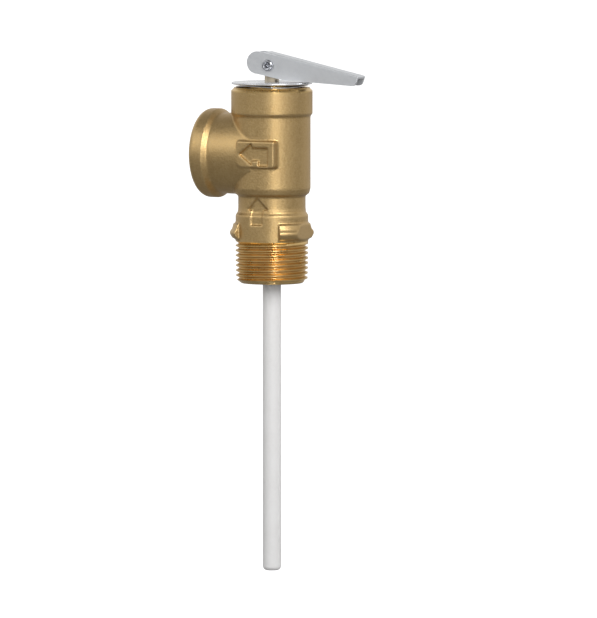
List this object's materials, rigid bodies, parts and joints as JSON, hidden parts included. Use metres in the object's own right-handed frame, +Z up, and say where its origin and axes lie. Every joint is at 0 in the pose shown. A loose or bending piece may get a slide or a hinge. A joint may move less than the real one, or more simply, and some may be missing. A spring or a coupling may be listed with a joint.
{
  "type": "pressure relief valve",
  "caption": "Brass angle relief valve with threaded inlet, side outlet, test lever on a sprung stem and a long white temperature probe.",
  "frame": {"origin": "centre of the inlet end face, on the body's axis", "axes": "+Z up the body's axis from inlet to stem, -X out of the side outlet, +X along the free end of the test lever, -Y out of the pad with the flow arrow"},
  "size_m": [0.0627, 0.0324, 0.1899],
  "materials": {
    "cast_brass": "blasted casting",
    "machined_brass": "turned",
    "plated_steel": "zinc plated",
    "tinned_plate": "bright satin",
    "spring_steel": "drawn wire",
    "silicone": "moulded",
    "fibre": "pressed fibre",
    "white_coating": "satin coating",
    "copper": "drawn tube",
    "wax": "waxy",
    "black_rubber": "moulded"
  },
  "bodies": {
    "housing": {"body": "cast_brass", "bonnet": "machined_brass", "bonnet_gasket": "fibre", "wave_washer": "spring_steel", "top_plate": "tinned_plate", "main_spring": "spring_steel", "element_carrier": "machined_brass", "retaining_ring": "spring_steel", "element_head": "machined_brass", "probe_sheath": "white_coating", "probe_tube": "copper", "wax_charge": "wax", "rod_seal": "black_rubber", "rod_return_spring": "spring_steel"},
    "lift_stack": {"stem": "machined_brass", "disc_holder": "machined_brass", "seat_disc": "silicone", "disc_washer": "plated_steel", "disc_screw": "machined_brass"},
    "test_lever": {"lever": "plated_steel", "lever_pin": "plated_steel"},
    "thermostat_rod": {"thrust_rod": "machined_brass"}
  },
  "joints": [
    {"name": "valve_lift", "type": "slide", "parent": "housing", "child": "lift_stack", "axis": [0, 0, 1], "range_m": [0, 0.00283], "deforming": ["main_spring"]},
    {"name": "lever_pivot", "type": "hinge", "parent": "lift_stack", "child": "test_lever", "pos_m": [0, 0, 0.07955], "axis": [0, -1, 0], "range_deg": [0, 90], "stiffness_Nm_per_rad": 0.02, "springref_deg": -28.65},
    {"name": "rod_thrust", "type": "slide", "parent": "housing", "child": "thermostat_rod", "axis": [0, 0, 1], "range_m": [0, 0.001], "stiffness_N_per_m": 100, "springref_m": -0.001, "deforming": ["rod_return_spring"]}
  ],
  "couplings": [
    {"joint": "valve_lift", "follows": "lever_pivot", "m_per_rad": 0.0018}
  ]
}
